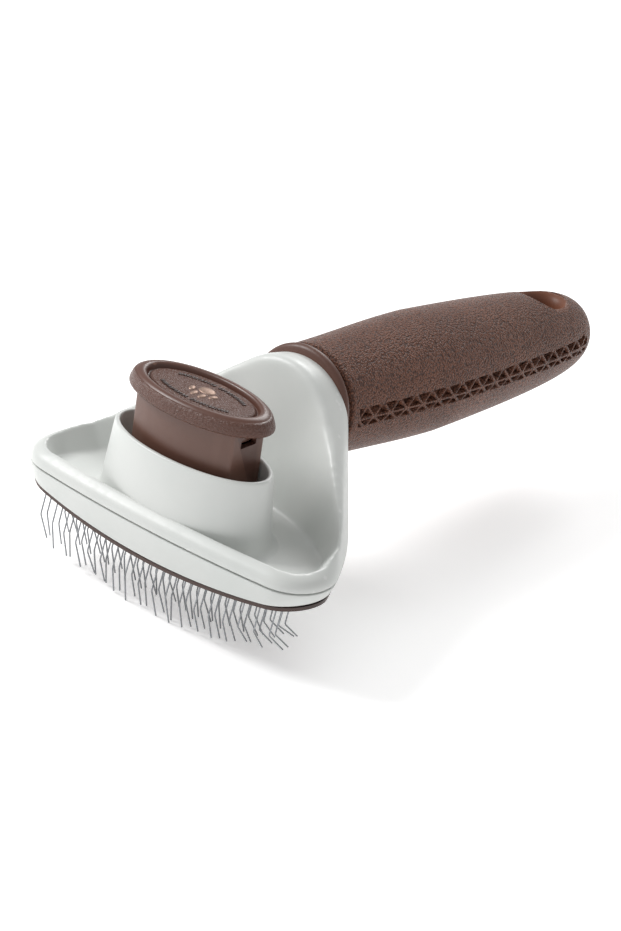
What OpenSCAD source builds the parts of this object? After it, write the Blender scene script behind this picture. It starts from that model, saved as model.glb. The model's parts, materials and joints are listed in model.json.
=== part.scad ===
// Slicker brush with a push-button ejector plate.
// Millimetres. +Z is up, +Y runs from the head to the handle's end, and X = 0 is
// the plane of symmetry. The brush is drawn with Z = 0 at the top of the head's
// oval collar and is then moved so that the middle of its bottom is the origin.

/* [Head] */
// Half of the head's width, at the parting groove
head_half_w = 49.5; // [48:0.5:52]
// Radius of the head's two front corners
corner_r = 11.9; // [10:0.1:13]
// Distance from the collar's middle to the head's front edge
head_front = 15.3; // [15:0.1:16]
// Radius of the slightly bowed front edge
front_bow_r = 368; // [300:1:450]
// Radius of the bowed sides that run back to the neck
side_bow_r = 115.5; // [110:0.5:125]
// Drop from the collar's top to the parting groove
groove_drop = 20.1; // [19.5:0.1:21]
// Drop from the collar's top to the lowest point of the skirt
skirt_drop = 28.7; // [28:0.1:30]
// Radius of the rocker curve of the head's underside
rocker_r = 240; // [220:5:280]
// Wall of the two mouldings of the head
wall = 1.6; // [1.4:0.1:2]

/* [Collar and button] */
// Half length of the collar's top edge
collar_a = 25; // [24:0.5:26]
// Half width of the collar's top edge
collar_b = 12.3; // [12:0.1:12.8]
// Half length of the button's sleeve
sleeve_half_l = 16.7; // [16:0.1:17]
// Half width of the sleeve at its middle
sleeve_mid_w = 9.6; // [9.2:0.1:9.8]
// Half width of the sleeve's flat ends
sleeve_end_w = 6.2; // [6:0.1:6.6]
// Half length of the button's cap
cap_a = 22.7; // [22:0.1:23.5]
// Half width of the button's cap
cap_b = 12; // [11.6:0.1:12.6]
// Height of the cap's lower edge above the collar at rest
cap_rise = 11.3; // [11:0.1:12]
// How far the button and the ejector plate travel
travel = 10; // [8:0.5:10]

/* [Wire staples] */
// Diameter of the wire
wire_d = 0.42; // [0.3:0.02:0.5]
// Distance between neighbouring staples in a row
staple_pitch = 4.7; // [4.6:0.1:5]
// Number of staples in the front row
staple_count = 18; // [12:2:18]
// Distance between the front row and the back row
row_gap = 7; // [6.8:0.1:7.2]
// Height of the bent knee below the cushion
knee_drop = 9.4; // [9:0.1:9.6]
// How far the knee leans to the front
knee_lean = 2.2; // [1.5:0.1:2.3]
// Length of the wire from the knee to the tip
tip_length = 8.35; // [7:0.05:8.5]
// Backward lean of the tips, in degrees
tip_lean = 18.9; // [12:0.1:22]
// Extra backward lean of the last staples on the +X side, bent by use
tip_splay = 42; // [0:1:42]

/* [Handle] */
// Slope of the handle below the horizontal, in degrees
handle_slope = 4.4; // [2:0.1:6]
// Length of the handle from the neck to its end
handle_l = 127; // [122:0.5:132]
// Radius of the grip beside the neck
grip_front_r = 15.7; // [15.4:0.1:16]
// Largest radius of the grip
grip_max_r = 17.3; // [17:0.1:18]
// Thickness of the soft grip over its core
grip_skin = 2.4; // [2:0.1:2.6]
// Radius of the hanging hole
hang_hole_r = 5.4; // [5:0.1:5.6]

/* [Hidden] */

// Colours of the finishes
shell_colour = [0.86, 0.87, 0.86];
grip_colour = [0.40, 0.28, 0.24];
plate_colour = [0.22, 0.16, 0.14];
board_colour = [0.75, 0.76, 0.75];
rubber_colour = [0.25, 0.25, 0.26];
steel_colour = [0.62, 0.63, 0.65];

// Outline of the head, seen from above
corner_x = head_half_w - corner_r;
corner_y = -head_front + front_bow_r - sqrt(pow(front_bow_r - corner_r, 2) - pow(corner_x, 2));
front_turn = asin(corner_x / (front_bow_r - corner_r));
side_turn = 26.3;
side_cx = corner_x - (side_bow_r - corner_r) * cos(side_turn);
side_cy = corner_y - (side_bow_r - corner_r) * sin(side_turn);

// Levels below the collar's top
parting_gap = 0.3;
tray_z = -20.5;
pan_z = -22.1;
rim_z = -16.1;
board_top_z = -22.4;
rocker_cz = -skirt_drop + rocker_r;

// Inner pieces of the head
skirt_taper = 1.6;
pocket_inset = 3.4;
pocket_end_y = 8;
frame_end_y = 22.5;
board_half_l = 44;
cushion_t = 1.4;
plate_gap = 0.25;
plate_t = 1;
cushion_gap = 0.1;

// Guide, sleeve and posts
sleeve_cy = 0.9;
guide_top_z = -7.5;
guide_bottom_z = -9.6;
flange_top_z = -9.9;
sleeve_bottom_z = -12;
flange_out = 2.2;
post_r = 1.25;
post_x = 3 * staple_pitch;
post_ys = [-6.9, 5.2];
spring_x = 7.5;
spring_r = 3.4;
spring_wire_r = 0.4;
spring_turns = 8;
web_z = 0;

// Rows of staples
row_y = -9.5;
leg_dx = 0.3;
leg_dy = 1.8;
slot_half_w = 0.85;
slot_ahead = 0.55;
slot_behind = 0.9;

// Handle: place of its front end on the axis, and its parts along the axis
handle_y = 41;
handle_z = 0.45;
ring_l = 4.2;
swell_s = 52;
spigot_r = 8.5;
spigot_l = 7;
core_bore_r = 6;
hang_s = 109.5;
hang_flat = 11.2;
dish_r = 7;

// Place of the collar's middle in the part's own frame
handle_end_y = 167.6;
tip_z = -skirt_drop + cushion_gap - knee_drop - tip_length * cos(tip_lean) - wire_d / 2 * sin(tip_lean);
origin_shift = [0, -(handle_end_y - head_front) / 2, -tip_z];

// ---- shapes shared by the pieces ----

module place() {
    translate(origin_shift) children();
}

// Points of an arc round (cx, cy)
function arc(cx, cy, r, from, to, steps) =
    [for (i = [0:steps]) let (a = from + (to - from) * i / steps) [cx + r * cos(a), cy + r * sin(a)]];

// Right half of the head's outline, moved in by inset and cut off at y = back
function half_outline(inset, back) =
    let (last = asin((back - side_cy) / (side_bow_r - inset)))
    concat(arc(0, front_bow_r - head_front, front_bow_r - inset, -90, -90 + front_turn, 4),
           arc(corner_x, corner_y, corner_r - inset, -90 + front_turn, side_turn, 12),
           arc(side_cx, side_cy, side_bow_r - inset, side_turn, last, 6));

function mirrored(points) =
    concat(points, [for (i = [len(points) - 1:-1:0]) if (points[i].x > 0.001) [-points[i].x, points[i].y]]);

function head_outline(inset, back) = mirrored(half_outline(inset, back));

function ellipse_points(a, b, cy, steps) =
    [for (i = [0:steps - 1]) let (t = 360 * i / steps) [a * cos(t), cy + b * sin(t)]];

// Outline of the button's sleeve: two bowed sides and two flat ends, moved in by inset
function sleeve_points(inset) =
    let (bow = sleeve_mid_w - sleeve_end_w,
         r = (pow(sleeve_half_l, 2) + pow(bow, 2)) / (2 * bow),
         x = sleeve_half_l - inset,
         turn = asin(x / (r - inset)),
         drop = r - sleeve_mid_w)
    concat(arc(0, sleeve_cy - drop, r - inset, 90 - turn, 90 + turn, 16),
           arc(0, sleeve_cy + drop, r - inset, 270 - turn, 270 + turn, 16));

module slab(points, low, high) {
    translate([0, 0, low]) linear_extrude(high - low) polygon(points);
}

// Solid above the rocker curve lowered by drop
module above_rocker(drop) {
    translate([0, 60, rocker_cz]) rotate([90, 0, 0]) cylinder(h = 120, r = rocker_r + drop, $fn = 360);
}

// Height of the rocker curve lowered by drop
function rocker_z(x, drop) = rocker_cz - sqrt(pow(rocker_r + drop, 2) - x * x);

// Joins rings of points, all with the same number of points, into a closed skin
module skin(rings) {
    n = len(rings[0]);
    last = len(rings) - 1;
    sides = [for (k = [0:last - 1]) for (i = [0:n - 1])
                 let (j = (i + 1) % n) [k * n + i, (k + 1) * n + i, (k + 1) * n + j, k * n + j]];
    caps = [[for (i = [0:n - 1]) i], [for (i = [n - 1:-1:0]) last * n + i]];
    polyhedron(points = [for (ring = rings) each ring], faces = concat(sides, caps), convexity = 8);
}

// Ring of six or more points round a path's point, across the direction given
function ring_at(centre, ahead, r, sides) =
    let (along = ahead / norm(ahead),
         aside = cross(along, abs(along.x) < 0.9 ? [1, 0, 0] : [0, 1, 0]),
         u = aside / norm(aside),
         v = cross(along, u))
    [for (i = [0:sides - 1]) let (t = 360 * i / sides) centre + r * (cos(t) * u + sin(t) * v)];

// ---- head ----

module shell_body() {
    hull() {
        slab(head_outline(0, 24), -groove_drop + parting_gap / 2, -groove_drop + 1.6);
        slab(head_outline(1.1, 16), -groove_drop, rim_z - 0.8);
        slab(head_outline(2.8, 8), -groove_drop, rim_z);
        handle_frame() translate([0, 0, -0.4]) linear_extrude(0.4) polygon(ellipse_points(15.8, 13.4, 0, 48));
        translate([0, 33, 1.5]) rotate([-90, 0, 0]) linear_extrude(2.5)
            polygon(ellipse_points(16.6, 13.9, 0, 48));
        for (side = [-1, 1]) translate([side * 34.5, 17, -9.5]) sphere(r = 1.5, $fn = 16);
    }
}

module tray_cut() {
    back = [[-38, 9.5], [-14, 18.5], [14, 18.5], [38, 9.5]];
    hull() {
        slab(concat(head_outline(6.2, 7), back), tray_z, tray_z + 0.01);
        slab(concat(head_outline(-19, 20), [[-16, 35.6], [16, 35.6]]), 20, 20.01);
    }
}

module collar_outside() {
    skin([[for (p = ellipse_points(collar_a + 2.2, collar_b + 2.2, 0, 72)) [p.x, p.y, -groove_drop]],
          [for (p = ellipse_points(collar_a + 1.1, collar_b + 1.1, 0, 72)) [p.x, p.y, tray_z + 3]],
          [for (p = ellipse_points(collar_a, collar_b, 0, 72)) [p.x, p.y, 0]]]);
    intersection() {
        slab(ellipse_points(collar_a + 2.2, collar_b + 2.2, 0, 72), pan_z, -groove_drop + 0.5);
        slab(head_outline(pocket_inset + 0.2, 20), pan_z, -groove_drop + 0.5);
    }
}

module handle_frame() {
    translate([0, handle_y, handle_z]) rotate([-90 - handle_slope, 0, 0]) children();
}

module upper_shell() {
    color(shell_colour) place() difference() {
        union() {
            difference() {
                union() {
                    shell_body();
                    slab(head_outline(pocket_inset + 0.2, frame_end_y - 0.2), pan_z, -groove_drop + 1);
                }
                tray_cut();
            }
            collar_outside();
        }
        slab(ellipse_points(collar_a - 1.4, collar_b - 1.4, 0, 72), guide_top_z - 1, 1);
        slab(ellipse_points(collar_a - 0.8, collar_b - 0.7, 0, 72), pan_z - 2, guide_top_z);
        handle_frame() translate([0, 0, -spigot_l - 0.3]) cylinder(h = 40, r = spigot_r + 0.05, $fn = 64);
        screw_holes(neck_screw_places(), 1.05);
        screw_wells(neck_screw_places(), 2);
        screw_holes(frame_screw_places(), 0.9, 4.3);
    }
}

module lower_frame() {
    top = -groove_drop - parting_gap / 2;
    color(shell_colour) place() difference() {
        intersection() {
            hull() {
                slab(head_outline(0, 24), top - 1.5, top);
                slab(head_outline(skirt_taper, 18), -skirt_drop - 1, -skirt_drop);
            }
            above_rocker(0);
        }
        slab(head_outline(pocket_inset, frame_end_y), pan_z - 0.1, 0);
        slab(head_outline(pocket_inset, pocket_end_y), -skirt_drop - 5, 0);
        difference() {
            intersection() {
                slab(head_outline(pocket_inset + 2, 19), -skirt_drop, 0);
                above_rocker(-wall);
            }
            translate([-60, -30, -40]) cube([120, 30 + pocket_end_y + wall, 60]);
            for (place_at = frame_screw_places())
                translate([place_at.x, place_at.y, -40]) cylinder(h = 60, r = 3.4, $fn = 32);
        }
        screw_holes(frame_screw_places(), 1.15);
        screw_wells(frame_screw_places(), 2.4);
    }
}

// ---- screws: each place is the point under the head, and the shank goes up ----

screw_head_t = 1.3;
function frame_screw_places() = [for (x = [-24, 0, 24]) [x, x == 0 ? 15.5 : 13.5, -25.4]];
function neck_screw_places() = [for (x = [-4.5, 4.5]) [x, 37.5, -11]];
function board_screw_places() = [for (x = [-25.8, 25.8]) [x, 2.2, -25.6]];

module screw_holes(places, r, deep = 7) {
    for (at = places) translate(at) cylinder(h = deep, r = r, $fn = 32);
}

module screw_wells(places, r) {
    for (at = places) translate([at.x, at.y, at.z - 12]) cylinder(h = 12, r = r, $fn = 32);
}

module screws(places, shank_r, shank_l, head_r) {
    for (at = places) translate(at) difference() {
        union() {
            cylinder(h = shank_l, r = shank_r, $fn = 32);
            translate([0, 0, -screw_head_t]) cylinder(h = screw_head_t, r = head_r, $fn = 48);
        }
        for (turn = [0, 90]) translate([0, 0, -screw_head_t]) rotate([0, 0, turn])
            translate([-head_r * 0.6, -0.25, -0.1]) cube([head_r * 1.2, 0.5, 0.7]);
    }
}

module frame_screws() {
    color(steel_colour) place() screws(frame_screw_places(), 0.9, 4.2, 2.2);
}

module neck_screws() {
    color(steel_colour) place() screws(neck_screw_places(), 1, 5, 1.9);
}

module board_screws() {
    color(steel_colour) place() screws(board_screw_places(), 0.8, 6.2, 1.5);
}

// ---- fixed pieces inside the head ----

module button_guide() {
    color(board_colour) place() difference() {
        slab(ellipse_points(collar_a - 0.85, collar_b - 0.75, 0, 72), guide_bottom_z, guide_top_z);
        slab(sleeve_points(-0.3), guide_bottom_z - 1, guide_top_z + 1);
    }
}

module board_outline() {
    intersection() {
        polygon(head_outline(pocket_inset + 0.3, pocket_end_y - 0.4));
        translate([-board_half_l, -30]) square([2 * board_half_l, 60]);
    }
}

module post_holes(r) {
    for (x = [-post_x, post_x]) for (y = post_ys)
        translate([x, y, -45]) cylinder(h = 60, r = r, $fn = 32);
}

module bristle_board() {
    color(board_colour) place() difference() {
        union() {
            intersection() {
                translate([0, 0, -40]) linear_extrude(40 + board_top_z) board_outline();
                above_rocker(-cushion_gap - cushion_t);
            }
            for (x = [-spring_x, spring_x]) translate([x, sleeve_cy, board_top_z - 0.5])
                cylinder(h = 3.5, r = spring_r - spring_wire_r - 0.4, $fn = 48);
        }
        post_holes(post_r + 0.4);
        screw_holes(board_screw_places(), 0.85);
        screw_wells(board_screw_places(), 1.6);
    }
}

module bristle_cushion() {
    color(rubber_colour) place() difference() {
        intersection() {
            translate([0, 0, -40]) linear_extrude(30) board_outline();
            above_rocker(-cushion_gap);
        }
        above_rocker(-cushion_gap - cushion_t);
        post_holes(post_r + 0.4);
        screw_wells(board_screw_places(), 1.8);
    }
}

// ---- wire staples ----

function splay_at(x) = x > 8 ? tip_splay * pow((x - 8) / 36, 2) : 0;

// One leg from its root down to its tip
function leg(x, y) =
    let (root_z = rocker_z(x, -cushion_gap), lean = tip_lean + splay_at(x))
    [[x, y, root_z],
     [x, y - knee_lean, root_z - knee_drop],
     [x, y - knee_lean + tip_length * sin(lean), root_z - knee_drop - tip_length * cos(lean)]];

function staple_path(x, y) =
    let (front = leg(x - leg_dx, y),
         back = leg(x + leg_dx, y + leg_dy),
         crown_z = rocker_z(x, -cushion_gap - cushion_t) + 0.3)
    [front[2], front[1], front[0], [x - leg_dx, y, crown_z],
     [x + leg_dx, y + leg_dy, crown_z], back[0], back[1], back[2]];

module staple(x, y) {
    path = staple_path(x, y);
    last = len(path) - 1;
    function ahead(i) = path[min(i + 1, last)] - path[i];
    function behind(i) = path[i] - path[max(i - 1, 0)];
    skin([for (i = [0:last])
              let (a = i < last ? ahead(i) / norm(ahead(i)) : behind(i) / norm(behind(i)),
                   b = i > 0 ? behind(i) / norm(behind(i)) : a)
              ring_at(path[i], a + b, wire_d / 2, 6)]);
}

function row_xs(count) = [for (i = [0:count - 1]) (i - (count - 1) / 2) * staple_pitch];

// Distance by which the rows fall back beside x, as the head's front edge does
function fall_back(x) = front_bow_r - sqrt(pow(front_bow_r, 2) - x * x);

module front_staples() {
    color(steel_colour) place() for (x = row_xs(staple_count)) staple(x, row_y + fall_back(x));
}

module back_staples() {
    color(steel_colour) place() for (x = row_xs(staple_count - 1))
        staple(x, row_y + row_gap + fall_back(x));
}

// ---- handle ----

// Outline of the grip as [radius, distance along the handle]: a swell, then a blunt rounded end
function grip_profile() =
    concat([for (s = [ring_l:6:swell_s - 4])
                [grip_front_r + (grip_max_r - grip_front_r) * (1 - cos(180 * s / swell_s)) / 2, s]],
           [for (a = [0:6:90])
                [grip_max_r * cos(a), swell_s + (handle_l - swell_s) * (1 - pow(cos(a), 5.7))]]);

module grip_outside() {
    rotate_extrude($fn = 96)
        polygon(concat([[0, ring_l]], grip_profile()));
}

module core_outside() {
    stop = handle_l - grip_skin * 2;
    rotate_extrude($fn = 96)
        polygon(concat([[0, ring_l - 0.5]],
                       [for (p = grip_profile()) if (p.y < stop) [p.x - grip_skin, p.y]],
                       [[0, stop]]));
}

module front_ring() {
    rotate_extrude($fn = 96) union() {
        square([grip_front_r, ring_l]);
        translate([grip_front_r - 1.2, 1.9]) circle(r = 1.9, $fn = 48);
    }
}

module hang_hole(r) {
    translate([0, 30, hang_s]) rotate([90, 0, 0]) cylinder(h = 60, r = r, $fn = 64);
}

module handle_core() {
    color(grip_colour) place() handle_frame() difference() {
        union() {
            core_outside();
            front_ring();
            translate([0, 0, -spigot_l]) cylinder(h = spigot_l + 1, r = spigot_r, $fn = 64);
        }
        translate([0, 0, -spigot_l - 1]) cylinder(h = 92, r = core_bore_r, $fn = 64);
        hang_hole(hang_hole_r + grip_skin);
    }
}

module grip_sleeve() {
    color(grip_colour) place() handle_frame() difference() {
        grip_outside();
        difference() {
            core_outside();
            hang_hole(hang_hole_r + grip_skin);
        }
        hang_hole(hang_hole_r);
        for (side = [-1, 1]) translate([0, side * (hang_flat + 5), hang_s]) rotate([90, 0, 0])
            cylinder(h = 10, r = dish_r, center = true, $fn = 64);
    }
}

// ---- button and ejector ----

module button_cap() {
    profile = [[-1.2, 0], [-0.15, 0.7], [0, 1.8], [-0.9, 3.2], [-2.4, 4], [-4.6, 4.35], [-5.6, 4.1],
               [-6.2, 3.5], [-6.8, 3.3]];
    color(grip_colour) place() {
        skin([for (k = [0:len(profile) - 1])
                  [for (p = ellipse_points(cap_a + profile[k].x, cap_b + profile[k].x * 0.62, sleeve_cy, 60))
                      [p.x, p.y, cap_rise + profile[k].y]]]);
        difference() {
            slab(sleeve_points(wall + 0.1), cap_rise - 5.5, cap_rise + 1);
            slab(sleeve_points(wall + 1.5), cap_rise - 6, cap_rise + 0.5);
        }
        for (side = [-1, 1]) translate([side * (sleeve_half_l - wall), sleeve_cy, cap_rise - 2.7])
            cube([2.2, 5.2, 1.9], center = true);
    }
}

// Room for the sleeve's flange inside the collar
module collar_inside() {
    slab(ellipse_points(collar_a - 1.2, collar_b - 1.1, 0, 72), sleeve_bottom_z, sleeve_bottom_z + 8);
}

module button_sleeve() {
    color(grip_colour) place() difference() {
        union() {
            difference() {
                union() {
                    slab(sleeve_points(0), sleeve_bottom_z, cap_rise);
                    intersection() {
                        slab(sleeve_points(-flange_out), sleeve_bottom_z, flange_top_z);
                        collar_inside();
                    }
                }
                slab(sleeve_points(wall), web_z + wall, cap_rise + 1);
                slab(sleeve_points(wall), sleeve_bottom_z - 1, web_z);
            }
            intersection() {
                collar_inside();
                for (x = [-post_x, post_x]) for (y = post_ys)
                    translate([x, y, sleeve_bottom_z]) cylinder(h = 2.1, r = post_r + 1.2, $fn = 32);
            }
            for (x = [-spring_x, spring_x]) translate([x, sleeve_cy, web_z - 3])
                cylinder(h = 3.5, r = spring_r - spring_wire_r - 0.4, $fn = 48);
        }
        translate([-30, sleeve_cy - 3, cap_rise - 4.4]) cube([60, 6, 3.4]);
        post_holes(post_r);
    }
}

module ejector_posts() {
    low = -skirt_drop - plate_gap - plate_t + 0.5;
    color(steel_colour) place() for (x = [-post_x, post_x]) for (y = post_ys)
        translate([x, y, low]) cylinder(h = flange_top_z - 0.3 - low, r = post_r, $fn = 32);
}

module staple_slots() {
    length = leg_dy + knee_lean + slot_ahead + slot_behind - 2 * slot_half_w;
    for (row = [0, 1]) for (x = row_xs(staple_count - row))
        translate([x, row_y + fall_back(x) + row * row_gap - knee_lean - slot_ahead + slot_half_w]) {
            translate([-slot_half_w, 0]) square([2 * slot_half_w, length]);
            for (y = [0, length]) translate([0, y]) circle(r = slot_half_w, $fn = 24);
        }
}

module ejector_plate() {
    color(plate_colour) place() difference() {
        intersection() {
            translate([0, 0, -40]) linear_extrude(30) difference() {
                polygon(head_outline(skirt_taper + 0.2, pocket_end_y + wall));
                staple_slots();
            }
            above_rocker(plate_gap + plate_t);
        }
        above_rocker(plate_gap);
        translate([0, 0, 1]) post_holes(post_r);
    }
}

// A compression spring from the board up to the sleeve's web
module return_spring(x) {
    low = board_top_z + spring_wire_r + 0.05;
    rise = web_z - spring_wire_r - 0.05 - low;
    steps = spring_turns * 12;
    function at(i) = let (t = 360 * i / 12) [x + spring_r * cos(t), sleeve_cy + spring_r * sin(t), low + rise * i / steps];
    skin([for (i = [0:steps]) ring_at(at(i), at(i + 0.5) - at(i - 0.5), spring_wire_r, 6)]);
}

module return_spring_left() {
    color(steel_colour) place() return_spring(-spring_x);
}

module return_spring_right() {
    color(steel_colour) place() return_spring(spring_x);
}

upper_shell();
lower_frame();
frame_screws();
button_guide();
bristle_board();
bristle_cushion();
board_screws();
front_staples();
back_staples();
neck_screws();
handle_core();
grip_sleeve();
button_cap();
button_sleeve();
ejector_posts();
ejector_plate();
return_spring_left();
return_spring_right();
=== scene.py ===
"""Looks of a slicker brush with a push-button ejector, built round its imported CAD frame.

Sizes are in millimetres in the brush's drawing frame: its origin is the middle of the collar's
top, +Y runs to the handle's end and +Z is up. Bench.finish_piece turns them into metres in the
shared frame.
"""

import json
import logging
import math
import random
from dataclasses import dataclass
from enum import Enum
from typing import Any, Callable, Iterable, Sequence

import bmesh
import bpy
from bmesh.types import BMEdge, BMesh, BMVert
from mathutils import Matrix, Vector

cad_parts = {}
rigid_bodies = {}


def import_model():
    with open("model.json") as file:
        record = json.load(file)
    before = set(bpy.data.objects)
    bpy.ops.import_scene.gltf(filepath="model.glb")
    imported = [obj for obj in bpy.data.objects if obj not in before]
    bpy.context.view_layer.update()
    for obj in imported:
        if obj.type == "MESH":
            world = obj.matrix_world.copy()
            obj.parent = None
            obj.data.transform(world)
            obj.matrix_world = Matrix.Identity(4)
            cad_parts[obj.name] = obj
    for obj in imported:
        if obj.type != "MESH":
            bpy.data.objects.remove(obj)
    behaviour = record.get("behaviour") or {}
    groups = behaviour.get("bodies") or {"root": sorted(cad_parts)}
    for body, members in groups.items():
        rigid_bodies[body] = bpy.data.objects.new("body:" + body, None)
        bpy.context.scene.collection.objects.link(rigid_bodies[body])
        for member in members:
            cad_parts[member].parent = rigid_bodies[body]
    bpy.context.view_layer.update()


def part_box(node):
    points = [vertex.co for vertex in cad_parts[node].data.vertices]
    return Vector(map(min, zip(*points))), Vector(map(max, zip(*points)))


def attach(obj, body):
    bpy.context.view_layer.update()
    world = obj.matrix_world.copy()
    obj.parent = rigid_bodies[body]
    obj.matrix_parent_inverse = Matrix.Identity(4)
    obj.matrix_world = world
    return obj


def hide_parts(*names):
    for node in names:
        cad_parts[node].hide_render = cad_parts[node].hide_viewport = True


LOG = logging.getLogger("slicker_brush")
MM = 0.001
Ring = list[Vector]

# Places in the drawing frame that several pieces share, in millimetres.
BUTTON_Y = 0.9
CAP_TOP = 15.65
HANDLE_START = (0, 41, 0.45)
HANDLE_SLOPE = 4.4


class Body(Enum):
    """The two moving groups of the brush."""

    BRUSH = "brush"
    EJECTOR = "ejector"


class Slot(Enum):
    """Material slots of the record."""

    SHELL = "shell"
    CUSHION = "cushion"
    WIRE = "wire"
    CORE = "core"
    GRIP = "grip"
    BUTTON = "button"


# ---- materials ----


def linear(code: str) -> tuple[float, float, float, float]:
    """Turns an sRGB hex colour into linear red, green, blue and alpha.

    Args:
        code: Colour such as "#6E5048".

    Returns:
        Four linear values.
    """
    parts = [int(code[i : i + 2], 16) / 255 for i in (1, 3, 5)]
    red, green, blue = (p / 12.92 if p <= 0.04045 else ((p + 0.055) / 1.055) ** 2.4 for p in parts)
    return red, green, blue, 1.0


def per_mm(size: float) -> float:
    """Texture scale, on coordinates in metres, whose features are size millimetres across."""
    return 1 / (size * MM)


def add_node(
    tree: bpy.types.NodeTree,
    kind: str,
    settings: dict[Any, Any] | None = None,
    links: dict[Any, bpy.types.NodeSocket] | None = None,
) -> bpy.types.Node:
    """Adds a node with its settings and links.

    Args:
        tree: Node tree that gets the node.
        kind: Blender's name of the node type.
        settings: Values by socket name or index, or by property name.
        links: Source sockets by input name or index.

    Returns:
        The new node.
    """
    node = tree.nodes.new(kind)
    for name, value in (settings or {}).items():
        if isinstance(name, int) or name in node.inputs:
            node.inputs[name].default_value = value
        else:
            setattr(node, name, value)
    for name, source in (links or {}).items():
        tree.links.new(source, node.inputs[name])
    return node


def blank_material(name: str) -> tuple[bpy.types.Material, bpy.types.NodeTree, bpy.types.Node]:
    """Makes a material whose tree holds only an output and a Principled shader.

    Args:
        name: Name of the material.

    Returns:
        The material, its tree and its shader.
    """
    material = bpy.data.materials.new(name)
    material.use_nodes = True
    tree = material.node_tree
    tree.nodes.clear()
    shader = add_node(tree, "ShaderNodeBsdfPrincipled")
    add_node(tree, "ShaderNodeOutputMaterial", links={"Surface": shader.outputs["BSDF"]})
    return material, tree, shader


# Stretches the middle of a noise pattern over the whole range from 0 to 1.
MIDDLE: dict[Any, Any] = {"clamp": True, "From Min": 0.35, "From Max": 0.7}


@dataclass(frozen=True)
class MouldedPlastic:
    """Injection-moulded ABS or PP: an even colour with faint flow clouds and a spark-eroded grain.

    The eye gets a soft, broad sheen that breaks up into a fine matt grain close by, and sharp
    edges that are a touch lighter: a painted highlight along them.
    """

    name: str
    colour: str
    cloud: str
    # edge: colour of the painted highlight laid on sharp edges
    edge: str
    roughness: float
    grain_mm: float
    grain_depth_mm: float
    grain_attribute: str = ""

    def build(self) -> bpy.types.Material:
        """Makes the material."""
        material, tree, shader = blank_material(self.name)
        place = add_node(tree, "ShaderNodeTexCoord").outputs["Object"]
        clouds = add_node(
            tree, "ShaderNodeTexNoise", {"Scale": per_mm(16), "Detail": 3.0}, {"Vector": place}
        ).outputs["Fac"]
        grain = add_node(
            tree,
            "ShaderNodeTexNoise",
            {"Scale": per_mm(self.grain_mm), "Detail": 2.0, "Roughness": 0.6},
            {"Vector": place},
        ).outputs["Fac"]
        # Streaks about 1.2 mm wide and 10 mm long along Y, so faint that only the sheen varies.
        stretched = add_node(
            tree, "ShaderNodeMapping", {"Scale": (1.0, 0.12, 0.6)}, {"Vector": place}
        ).outputs["Vector"]
        scuffs = add_node(
            tree, "ShaderNodeTexNoise", {"Scale": per_mm(1.2), "Detail": 3.0}, {"Vector": stretched}
        ).outputs["Fac"]
        sharp = add_node(tree, "ShaderNodeNewGeometry").outputs["Pointiness"]
        cloudy = add_node(tree, "ShaderNodeMapRange", MIDDLE, {"Value": clouds}).outputs["Result"]
        body = add_node(
            tree,
            "ShaderNodeMix",
            {"data_type": "RGBA", 6: linear(self.colour), 7: linear(self.cloud)},
            {0: cloudy},
        ).outputs[2]
        # Painted highlight: sharp edges, found by pointiness, get the lighter edge colour.
        edge_highlight = add_node(
            tree,
            "ShaderNodeMapRange",
            {"clamp": True, "From Min": 0.53, "From Max": 0.62},
            {"Value": sharp},
        ).outputs["Result"]
        base = add_node(
            tree,
            "ShaderNodeMix",
            {"data_type": "RGBA", 7: linear(self.edge)},
            {0: edge_highlight, 6: body},
        ).outputs[2]
        tree.links.new(base, shader.inputs["Base Color"])
        sheen = add_node(
            tree,
            "ShaderNodeMapRange",
            {
                "From Min": 0.3,
                "From Max": 0.75,
                "To Min": self.roughness - 0.05,
                "To Max": self.roughness + 0.07,
            },
            {"Value": scuffs},
        ).outputs["Result"]
        tree.links.new(sheen, shader.inputs["Roughness"])
        if self.grain_attribute:
            named = {"attribute_name": self.grain_attribute}
            mask = add_node(tree, "ShaderNodeAttribute", named).outputs["Fac"]
            grain = add_node(
                tree, "ShaderNodeMath", {"operation": "MULTIPLY"}, {0: grain, 1: mask}
            ).outputs[0]
        bump = add_node(
            tree,
            "ShaderNodeBump",
            {"Strength": 1.0, "Distance": self.grain_depth_mm * MM},
            {"Height": grain},
        ).outputs["Normal"]
        tree.links.new(bump, shader.inputs["Normal"])
        return material


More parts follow.
